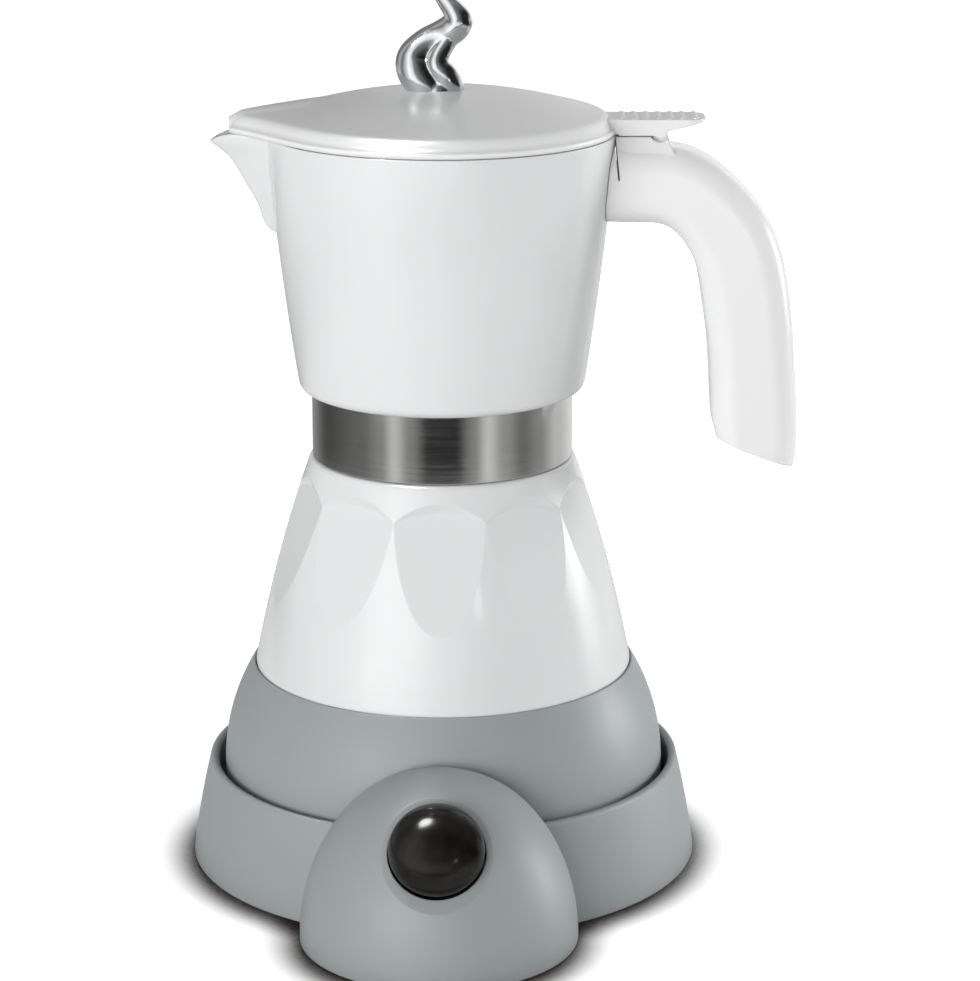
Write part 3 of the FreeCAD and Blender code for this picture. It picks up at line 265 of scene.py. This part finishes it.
smokedLens = {
    "colour": (0.021, 0.019, 0.017), "cloud": 0.7, "cloudScale": 110,
    "edge": 0.1, "edgeColour": (0.02, 0.02, 0.02), "bevel": 0.0003,
    "roughness": (0.10, 0.18), "smudgeScale": 90,
    "grainScale": 800, "grainDepth": 0.00001, "grainStrength": 0.05,
    "coat": 0.0, "coatRoughness": 0.03, "ior": 1.45, "specular": 0.22,
}
lampLens = dict(smokedLens, colour=(0.5, 0.1, 0.03))
dress(["indicator_lamp"], mouldedSurface("lampLens", lampLens))

polishedSteel = {
    "dark": (0.50, 0.50, 0.49), "light": (0.60, 0.60, 0.59), "cloudScale": 40,
    "lineStretch": (1, 1, 60), "lineScale": 40, "lineDepth": 0.00001, "lineStrength": 0.04,
    "roughness": (0.08, 0.13), "anisotropy": 0.4, "bevel": 0.0003,
}
dress(
    [
        "steel_band", "handle_screw", "lid_hinge_pin", "knob_screw", "base_screws", "collar_screws",
        "button_spring", "safety_valve_spring", "heating_element", "thermostat",
    ],
    metalSurface("polishedSteel", polishedSteel),
)

castAluminium = {
    "dark": (0.55, 0.56, 0.57), "light": (0.68, 0.69, 0.70), "cloudScale": 60,
    "lineStretch": (1, 1, 1), "lineScale": 900, "lineDepth": 0.00003, "lineStrength": 0.3,
    "roughness": (0.28, 0.4), "anisotropy": 0.0, "bevel": 0.0003,
}
dress(
    ["coffee_column", "filter_plate", "funnel_basket", "heater_plate"],
    metalSurface("castAluminium", castAluminium),
)

turnedBrass = {
    "dark": (0.55, 0.38, 0.14), "light": (0.72, 0.52, 0.22), "cloudScale": 80,
    "lineStretch": (1, 1, 1), "lineScale": 700, "lineDepth": 0.00002, "lineStrength": 0.2,
    "roughness": (0.28, 0.38), "anisotropy": 0.2, "bevel": 0.0003,
}
dress(
    ["safety_valve_body", "safety_valve_pin", "base_contacts", "pot_contacts"],
    metalSurface("turnedBrass", turnedBrass),
)
print("materials made")


# Helpers for the three pieces that are made here
millimetre = 0.001


def millimetres(*values):
    return Vector(value * millimetre for value in values)


def curvedPath(points, spanSteps):
    # a smooth line through points of any length, by the Catmull-Rom rule
    padded = [points[0], *points, points[-1]]
    line = []
    for span in range(len(points) - 1):
        before, start, end, after = (Vector(point) for point in padded[span:span + 4])
        for step in range(spanSteps):
            t = step / spanSteps
            line.append(0.5 * (
                2 * start + (end - before) * t + (2 * before - 5 * start + 4 * end - after) * t * t
                + (3 * start - before - 3 * end + after) * t ** 3
            ))
    line.append(Vector(points[-1]))
    return line


def circlePoints(steps):
    # the cosine and sine of each step round a circle
    angles = [2 * math.pi * index / steps for index in range(steps)]
    return [(math.cos(angle), math.sin(angle)) for angle in angles]


def joinRings(mesh, rings):
    # bands of faces between closed rings
    for first, second in zip(rings, rings[1:]):
        for index in range(len(first)):
            after = (index + 1) % len(first)
            mesh.faces.new((first[index], first[after], second[after], second[index]))


def finishPiece(name, mesh, body, node, material):
    # the mesh becomes a smooth piece on its body, and stands for a node if one is named
    data = bpy.data.meshes.new(name)
    mesh.to_mesh(data)
    mesh.free()
    for face in data.polygons:
        face.use_smooth = True
    data.materials.append(material)
    piece = bpy.data.objects.new(name, data)
    bpy.context.scene.collection.objects.link(piece)
    if node:
        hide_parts(node)
    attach(piece, body)


# Knob
chrome = {
    "dark": (0.62, 0.63, 0.64), "light": (0.72, 0.73, 0.74), "cloudScale": 30,
    "lineStretch": (1, 1, 1), "lineScale": 300, "lineDepth": 0.00001, "lineStrength": 0.05,
    "roughness": (0.10, 0.17), "anisotropy": 0.0, "bevel": 0.0003,
}
knobPlan = {
    # strands in millimetres: each point is across, deep, up and thick
    "strands": (
        (
            (-1.2, -1.4, 208.6, 3.2), (-3.4, -1.6, 212.8, 4.6), (-6.3, -0.8, 216.6, 5.1),
            (-6.9, 0.6, 220.2, 4.9), (-3.6, 1.4, 223.8, 4.5), (0.4, 0.8, 226.4, 4.1),
            (3.6, -0.6, 228.6, 4.1), (4.9, -1.6, 230.6, 3.7), (3.7, -1.4, 233.0, 3.1),
            (1.2, -0.4, 235.8, 2.4), (-1.1, 0.6, 238.8, 1.7), (-2.0, 1.1, 241.5, 1.1),
            (-2.1, 1.3, 243.6, 0.5),
        ),
        (
            (1.6, -1.0, 208.6, 3.6), (2.4, -1.8, 212.8, 3.9), (1.2, -2.9, 216.4, 3.5),
            (-0.9, -3.0, 219.6, 2.9), (0.9, -1.8, 223.6, 2.6), (3.8, -1.2, 227.4, 2.4),
        ),
        ((-2.4, -2.0, 211.6, 4.0), (-0.2, -2.4, 211.8, 4.1), (1.8, -1.8, 211.6, 3.8)),
    ),
    # the level in millimetres at which the lid cuts it off
    "seat": 212.25,
    # metres: how near the cut a corner counts as on it, and the cells in which the strands melt
    "cutTolerance": 1e-7, "voxel": 0.0003,
    "ringSteps": 24, "spanSteps": 8, "smoothing": 16, "smoothShare": 0.5,
}


def addStrand(mesh, points, plan):
    # rings square to the path, each as thick as the path says, and closed ends
    line = curvedPath(points, plan["spanSteps"])
    circle = circlePoints(plan["ringSteps"])
    rings = []
    side = Vector((0, 1, 0))
    for index, place in enumerate(line):
        ahead = line[min(index + 1, len(line) - 1)].xyz - line[max(index - 1, 0)].xyz
        ahead.normalize()
        side = (side - ahead * side.dot(ahead)).normalized()
        other = ahead.cross(side)
        middle, thick = millimetres(*place.xyz), place.w * millimetre
        rings.append([mesh.verts.new(middle + thick * (side * cos + other * sin)) for cos, sin in circle])
    joinRings(mesh, rings)
    mesh.faces.new(reversed(rings[0]))
    mesh.faces.new(rings[-1])


def makeKnob(plan, material):
    # the strands are melted into one skin, which is smoothed and cut level with the lid
    mesh = bmesh.new()
    for points in plan["strands"]:
        addStrand(mesh, points, plan)
    rough = bpy.data.meshes.new("knobStrands")
    mesh.to_mesh(rough)
    mesh.free()
    melted = bpy.data.objects.new("knobStrands", rough)
    bpy.context.scene.collection.objects.link(melted)
    remesh = melted.modifiers.new("melt", "REMESH")
    remesh.mode = "VOXEL"
    remesh.voxel_size = plan["voxel"]
    smooth = melted.modifiers.new("smooth", "SMOOTH")
    smooth.iterations = plan["smoothing"]
    smooth.factor = plan["smoothShare"]
    shaped = bpy.data.meshes.new_from_object(melted.evaluated_get(bpy.context.evaluated_depsgraph_get()))
    bpy.data.objects.remove(melted)
    skin = bmesh.new()
    skin.from_mesh(shaped)
    bmesh.ops.bisect_plane(
        skin, geom=skin.verts[:] + skin.edges[:] + skin.faces[:], dist=plan["cutTolerance"],
        plane_co=millimetres(0, 0, plan["seat"]), plane_no=(0, 0, 1), clear_inner=True,
    )
    bmesh.ops.holes_fill(skin, edges=[edge for edge in skin.edges if edge.is_boundary])
    finishPiece("twistedKnob", skin, "lid", "lid_knob", material)


makeKnob(knobPlan, metalSurface("chrome", chrome))

# Button
buttonPlan = {
    # millimetres: its middle on the nose, its lean in degrees, and the dome about its widest level
    "place": (0.0, -91.37, 33.65), "leanDegrees": 48.0,
    "radius": 12.3, "crown": 6.4, "widest": -1.0, "under": 6.5,
    # below 1 the dome is fuller than an ellipse
    "fullness": 0.86,
    "startDegrees": -38, "wall": 1.6, "crownWall": 1.8, "turnSteps": 128, "domeSteps": 36,
}


def makeButton(plan, material):
    # a turned lens: it draws in under its widest level and rises to one full dome
    outline = []
    start = math.radians(plan["startDegrees"])
    for step in range(plan["domeSteps"]):
        angle = start + (math.pi / 2 - start) * step / plan["domeSteps"]
        rise = plan["crown"] - plan["widest"] if angle > 0 else plan["under"]
        across = plan["radius"] * math.cos(angle) ** (plan["fullness"] if angle > 0 else 1)
        outline.append((across, plan["widest"] + rise * math.sin(angle)))
    outline.insert(0, (outline[0][0] - plan["wall"], outline[0][1]))
    lean = Matrix.Rotation(math.radians(plan["leanDegrees"]), 4, "X")
    turn = Matrix.Translation(millimetres(*plan["place"])) @ lean
    circle = circlePoints(plan["turnSteps"])
    mesh = bmesh.new()
    rings = [
        [mesh.verts.new(turn @ millimetres(across * cos, across * sin, up)) for cos, sin in circle]
        for across, up in outline
    ]
    joinRings(mesh, rings)
    crown = mesh.verts.new(turn @ millimetres(0, 0, plan["crown"]))
    under = mesh.verts.new(turn @ millimetres(0, 0, plan["crown"] - plan["crownWall"]))
    for index in range(len(circle)):
        after = (index + 1) % len(circle)
        mesh.faces.new((rings[-1][index], rings[-1][after], crown))
        mesh.faces.new((under, rings[0][after], rings[0][index]))
    finishPiece("buttonLens", mesh, "button", "power_button", material)


makeButton(buttonPlan, mouldedSurface("smokedLens", smokedLens))

# Lid top
lidPlan = {
    # millimetres: the solid dome's outline from the middle outwards, then its rim and the rim's lower edge
    "dome": (
        (0, 212.2), (8, 212.2), (19.6, 210.6), (31.2, 208.6), (42.1, 206.1), (44.3, 204.8), (45.6, 202.7),
    ),
    "rimRadius": 45.6, "rimLevel": 202.7, "underLevel": 201.25,
    # the reach of the skin, by degrees away from the beak
    "reach": (
        (0, 56.3), (4, 56.1), (7, 54.5), (12, 51.7), (20, 48.9),
        (30, 47.2), (44, 46.5), (60, 46.5), (180, 46.5),
    ),
    # the solid beak's slices: distance from the middle, half width of its ridge and height
    "beak": ((33, 9.2, 208.7), (40, 8.8, 207.7), (47, 6.2, 206.9), (53, 3.5, 206.0), (55.8, 2.2, 205.1)),
    # how softly dome and ridge join, how far the skin lies off them, its rounded corner and its lip
    "blend": 3.0, "lift": 0.08, "corner": 0.6, "lip": 1.2,
    "turnSteps": 360, "riseSteps": 64, "cornerSteps": 5, "spanSteps": 12,
}


def between(line, value):
    # the level of a line of (place, level) points at a place on it
    for (start, low), (end, high) in zip(line, line[1:]):
        if value <= end:
            return low + (high - low) * max(0, value - start) / (end - start)
    return line[-1][1]


def beakLevel(plan, away, aside):
    # the height of the solid beak's ridge, or None beside it
    slices = plan["beak"]
    half = between([(place, width) for place, width, crown in slices], away)
    if not slices[0][0] <= away <= slices[-1][0] or abs(aside) > half:
        return None
    crown = between([(place, crown) for place, width, crown in slices], away)
    rise = crown - plan["rimLevel"]
    bend = (half ** 2 + rise ** 2) / (2 * rise)
    return crown - bend + math.sqrt(bend ** 2 - aside ** 2)


def skinLevel(plan, domeLine, angle, inner, away):
    # the dome stretches to the skin's reach in this direction, and the ridge melts into it
    dome = between(domeLine, min(away * plan["rimRadius"] / inner, plan["rimRadius"]))
    ridge = beakLevel(plan, -away * math.cos(angle), away * math.sin(angle))
    if ridge is None:
        return dome + plan["lift"]
    near = max(plan["blend"] - abs(dome - ridge), 0) / plan["blend"]
    return max(dome, ridge) + near * near * plan["blend"] / 4 + plan["lift"]


def makeLidTop(plan, material):
    # one skin over dome and beak, in columns that run from the middle to the lip
    domeLine = curvedPath(plan["dome"], plan["spanSteps"])
    reachLine = curvedPath(plan["reach"], plan["spanSteps"])
    corner = plan["corner"]
    mesh = bmesh.new()
    columns = []
    for turn in range(plan["turnSteps"]):
        angle = 2 * math.pi * turn / plan["turnSteps"]
        reach = between(reachLine, abs(math.degrees(angle) - 180))
        inner = reach - corner
        places = [inner * (step + 1) / plan["riseSteps"] for step in range(plan["riseSteps"])]
        outline = [(away, skinLevel(plan, domeLine, angle, inner, away)) for away in places]
        top = outline[-1][1]
        for step in range(1, plan["cornerSteps"] + 1):
            bend = math.pi / 2 * step / plan["cornerSteps"]
            outline.append((inner + corner * math.sin(bend), top - corner * (1 - math.cos(bend))))
        outline += [(reach, plan["underLevel"]), (reach - plan["lip"], plan["underLevel"])]
        columns.append([
            mesh.verts.new(millimetres(away * math.cos(angle), away * math.sin(angle), up))
            for away, up in outline
        ])
    crown = mesh.verts.new(millimetres(0, 0, plan["dome"][0][1] + plan["lift"]))
    for turn, column in enumerate(columns):
        other = columns[(turn + 1) % len(columns)]
        mesh.faces.new((crown, column[0], other[0]))
        for step in range(len(column) - 1):
            mesh.faces.new((column[step], column[step + 1], other[step + 1], other[step]))
    finishPiece("lidTop", mesh, "lid", None, material)


makeLidTop(lidPlan, lidWhite)
print("knob, button and lid top made")

# Camera
cameraPlan = {
    "place": (0.013, -0.850, 0.3385), "tiltDegrees": 74.45, "turnDegrees": 0.3,
    "lens": 118.27, "sensor": 36.0, "near": 0.05, "far": 20,
}


def makeCamera(plan):
    camera = bpy.data.cameras.new("photoCamera")
    camera.lens = plan["lens"]
    camera.sensor_width = plan["sensor"]
    camera.clip_start = plan["near"]
    camera.clip_end = plan["far"]
    holder = bpy.data.objects.new("photoCamera", camera)
    turn = math.radians(plan["turnDegrees"])
    holder.location = Matrix.Rotation(turn, 3, "Z") @ Vector(plan["place"])
    holder.rotation_euler = (math.radians(plan["tiltDegrees"]), 0, turn)
    bpy.context.scene.collection.objects.link(holder)
    bpy.context.scene.camera = holder


makeCamera(cameraPlan)

# Room
roomPlan = {
    # its strength low down and overhead, as eye and mirror see it and as light, and the span of that change
    "seen": (1.0, 0.22), "light": (1.12, 0.20), "span": (0.06, 0.60),
    # the side that gives the most light, and the share of the light from its opposite and from itself
    "side": (-0.55, -0.83, 0.0), "sideLight": (0.86, 1.07),
}


def directView(tree, mirrorShare=1.0):
    # 1 for what the camera or a window sees directly, and the given share for a mirror
    path = addNode(tree, "ShaderNodeLightPath").outputs
    mirrored = calculate(tree, "MULTIPLY", path["Is Glossy Ray"], mirrorShare)
    seen = calculate(tree, "MAXIMUM", path["Is Camera Ray"], mirrored)
    return calculate(tree, "MAXIMUM", seen, path["Is Transmission Ray"])


def makeRoom(plan):
    world = bpy.data.worlds.new("studio")
    bpy.context.scene.world = world
    tree = emptyTree(world)
    way = addNode(tree, "ShaderNodeTexCoord").outputs["Generated"]
    height = splitAxes(tree, way)["Z"]
    side = mapRange(tree, dotProduct(tree, way, plan["side"]), plan["sideLight"], (-1, 1))
    light = calculate(tree, "MULTIPLY", mapRange(tree, height, plan["light"], plan["span"]), side)
    seen = mapRange(tree, height, plan["seen"], plan["span"])
    background = addNode(tree, "ShaderNodeBackground", Color=(1, 1, 1, 1))
    feed(tree, background.inputs["Strength"], mix(tree, "FLOAT", directView(tree), light, seen))
    output = addNode(tree, "ShaderNodeOutputWorld")
    tree.links.new(background.outputs[0], output.inputs["Surface"])


makeRoom(roomPlan)

# Floor
floorPlan = {
    "size": 8.0, "colour": (0.82, 0.82, 0.82),
    # the glow that the eye sees on the paper, near the middle and further away, and a mirror's share of it
    "glow": (0.75, 1.0), "glowSpan": (0.2, 0.9), "mirrorGlow": 0.3,
    # under the pot, a painted contact shadow: how near it the paper's colour and glow darken, and from which
    # openness to which
    "closeness": 0.013, "openSpan": (0.60, 0.96), "shadowSamples": 12,
    # the way the painted shadow leans, and its tone
    "lean": (0.04, 0.6, 1.0), "paintedShadowColour": (0.035, 0.024, 0.022),
}


def makeFloor(plan):
    half = plan["size"] / 2
    corners = [(-half, -half, 0), (half, -half, 0), (half, half, 0), (-half, half, 0)]
    mesh = bpy.data.meshes.new("studioFloor")
    mesh.from_pydata(corners, [], [(0, 1, 2, 3)])
    floor = bpy.data.objects.new("studioFloor", mesh)
    bpy.context.scene.collection.objects.link(floor)
    material = bpy.data.materials.new("studioFloor")
    tree = emptyTree(material)
    lean = addNode(tree, "ShaderNodeCombineXYZ")
    for socket, value in zip(lean.inputs, plan["lean"]):
        socket.default_value = value
    nearby = addNode(
        tree, "ShaderNodeAmbientOcclusion", samples=plan["shadowSamples"], Distance=plan["closeness"],
    )
    tree.links.new(lean.outputs[0], nearby.inputs["Normal"])
    # the paper's colour and its glow go dark close under the pot: a painted contact shadow
    clear = mapRange(tree, nearby.outputs["AO"], (0, 1), plan["openSpan"])
    paper = addNode(tree, "ShaderNodeBsdfDiffuse")
    feed(tree, paper.inputs["Color"], mix(tree, "RGBA", clear, plan["paintedShadowColour"], plan["colour"]))
    away = addNode(tree, "ShaderNodeVectorMath", operation="LENGTH")
    tree.links.new(objectPoint(tree), away.inputs[0])
    level = mapRange(tree, away.outputs["Value"], plan["glow"], plan["glowSpan"])
    seen = calculate(tree, "MULTIPLY", directView(tree, plan["mirrorGlow"]), level)
    glow = addNode(tree, "ShaderNodeEmission")
    feed(tree, glow.inputs["Strength"], calculate(tree, "MULTIPLY", seen, clear))
    both = addNode(tree, "ShaderNodeAddShader")
    tree.links.new(paper.outputs[0], both.inputs[0])
    tree.links.new(glow.outputs[0], both.inputs[1])
    output = addNode(tree, "ShaderNodeOutputMaterial")
    tree.links.new(both.outputs[0], output.inputs["Surface"])
    mesh.materials.append(material)


makeFloor(floorPlan)

# Lamps
lampPlan = {
    # each lamp: place, aim, size and power
    "keyLamp": ((-0.86, -1.50, 0.38), (0, 0, 0.12), (1.2, 0.7), 16.5),
    "rimLamp": ((1.43, 0.46, 0.24), (0, 0, 0.16), (0.5, 0.6), 14),
}


def makeLamps(plan):
    for name, (place, aim, size, power) in plan.items():
        lamp = bpy.data.lights.new(name, "AREA")
        lamp.shape = "RECTANGLE"
        lamp.size, lamp.size_y = size
        lamp.energy = power
        holder = bpy.data.objects.new(name, lamp)
        holder.location = place
        holder.rotation_euler = (Vector(aim) - Vector(place)).to_track_quat("-Z", "Y").to_euler()
        bpy.context.scene.collection.objects.link(holder)


makeLamps(lampPlan)


# Screen and glints, which only mirrors see: painted reflections and painted highlights
def addForMirrors(name, points, faces, material):
    mesh = bpy.data.meshes.new(name)
    mesh.from_pydata(points, [], faces)
    mesh.materials.append(material)
    thing = bpy.data.objects.new(name, mesh)
    bpy.context.scene.collection.objects.link(thing)
    thing.visible_camera = False
    thing.visible_diffuse = False
    thing.visible_shadow = False
    thing.visible_transmission = False


screenPlan = {
    # a round screen of painted reflections, open at the top: its distance, its edges' heights, and how much
    # of it fades out
    "distance": 0.42, "low": 0.001, "high": 1.00, "fade": 0.40, "turnSteps": 96,
    # the heights over which each ring of greys goes over into the next, and the strength below and above
    # the first change
    "changes": ((0.04, 0.07), (0.16, 0.22)), "strength": (1.0, 1.35),
    # each ring's greys of painted reflection by direction, in degrees from the front towards the right
    "lowerGreys": (
        (-180, 0.50), (-150, 0.30), (-116, 0.10), (-71, 0.18), (-52, 0.36), (-40, 0.85), (-26, 0.34),
        (-10, 0.02), (12, 0.02), (28, 0.34), (40, 0.88), (54, 0.46), (74, 0.22), (92, 0.36), (118, 0.80),
        (150, 0.90), (180, 0.50),
    ),
    "middleGreys": (
        (-180, 0.35), (-140, 0.30), (-108, 0.50), (-82, 0.16), (-62, 0.55), (-42, 1.00), (-22, 0.90),
        (-4, 0.80), (12, 0.50), (26, 0.08), (40, 0.01), (95, 0.01), (112, 0.16), (132, 0.40), (155, 0.65),
        (180, 0.35),
    ),
    "upperGreys": (
        (-180, 0.60), (-165, 0.20), (-130, 0.15), (-105, 0.40), (-82, 0.16), (-62, 0.55), (-42, 1.00),
        (-26, 0.75), (-10, 0.16), (6, 0.12), (22, 0.04), (40, 0.01), (95, 0.01), (112, 0.20), (140, 1.00),
        (180, 0.60),
    ),
}


def greyRing(tree, share, greys):
    # the greys as one ramp round the screen, which starts and ends at the back
    ramp = addNode(tree, "ShaderNodeValToRGB")
    ramp.color_ramp.interpolation = "EASE"
    stops = ramp.color_ramp.elements
    while len(stops) < len(greys):
        stops.new(0.5)  # moved to its own place below
    for stop, (degrees, grey) in zip(stops, greys):
        stop.position = (degrees + 180) / 360
        stop.color = (grey, grey, grey, 1)
    tree.links.new(share, ramp.inputs[0])
    return ramp.outputs[0]


def makeScreen(plan):
    # an upright cylinder round the pot, whose greys follow the direction and change with the height: painted
    # light and shade that only mirrors see
    steps = plan["turnSteps"]
    low, high = plan["low"], plan["high"]
    points, faces = [], []
    for cos, sin in circlePoints(steps):
        across, forward = plan["distance"] * sin, -plan["distance"] * cos
        points += [(across, forward, low), (across, forward, high)]
    for index in range(steps):
        after = (index + 1) % steps
        faces.append((2 * index, 2 * after, 2 * after + 1, 2 * index + 1))
    material = bpy.data.materials.new("mirrorScreen")
    tree = emptyTree(material)
    place = splitAxes(tree, objectPoint(tree))
    turn = calculate(tree, "ARCTAN2", place["X"], calculate(tree, "MULTIPLY", place["Y"], -1))
    share = mapRange(tree, turn, (0, 1), (-math.pi, math.pi))
    lower = greyRing(tree, share, plan["lowerGreys"])
    middle = greyRing(tree, share, plan["middleGreys"])
    upper = greyRing(tree, share, plan["upperGreys"])
    firstChange, secondChange = (mapRange(tree, place["Z"], (0, 1), change) for change in plan["changes"])
    glow = addNode(tree, "ShaderNodeEmission")
    lowerHalf = mix(tree, "RGBA", firstChange, lower, middle)
    feed(tree, glow.inputs["Color"], mix(tree, "RGBA", secondChange, lowerHalf, upper))
    feed(tree, glow.inputs["Strength"], mapRange(tree, firstChange, plan["strength"]))
    clear = addNode(tree, "ShaderNodeBsdfTransparent")
    fading = addNode(tree, "ShaderNodeMixShader")
    tree.links.new(mapRange(tree, place["Z"], (0, 1), (high - plan["fade"], high)), fading.inputs[0])
    tree.links.new(glow.outputs[0], fading.inputs[1])
    tree.links.new(clear.outputs[0], fading.inputs[2])
    output = addNode(tree, "ShaderNodeOutputMaterial")
    tree.links.new(fading.outputs[0], output.inputs["Surface"])
    addForMirrors("mirrorScreen", points, faces, material)


makeScreen(screenPlan)

glintPlan = {
    # painted highlights, glowing discs only mirrors see: what each stands round, how far, its direction,
    # height and half sizes in degrees, strength
    "lights": (
        ((0.0, -0.095, 0.036), 0.60, -92, 76, 8.0, 8.0, 60.0),
        ((0.0, -0.095, 0.036), 0.26, 33, 25, 3.5, 3.5, 4.5),
    ),
    "turnSteps": 32,
}


def makeGlints(plan):
    circle = circlePoints(plan["turnSteps"])
    for number, light in enumerate(plan["lights"], start=1):
        middle, reach, direction, height, wide, tall, strength = light
        turn, rise = math.radians(direction), math.radians(height)
        way = Vector((math.sin(turn) * math.cos(rise), -math.cos(turn) * math.cos(rise), math.sin(rise)))
        level = Vector((math.cos(turn), math.sin(turn), 0))
        across = level * math.radians(wide)
        upward = way.cross(level) * math.radians(tall)
        corners = [Vector(middle) + reach * (way + across * cos + upward * sin) for cos, sin in circle]
        name = f"glint{number}"
        material = bpy.data.materials.new(name)
        tree = emptyTree(material)
        # a glow that only mirrors see: a painted highlight
        glow = addNode(tree, "ShaderNodeEmission", Strength=strength)
        output = addNode(tree, "ShaderNodeOutputMaterial")
        tree.links.new(glow.outputs[0], output.inputs["Surface"])
        addForMirrors(name, corners, [tuple(range(len(corners)))], material)


makeGlints(glintPlan)
bpy.context.scene.view_settings.view_transform = "Standard"
print("stage, lamps and camera made")
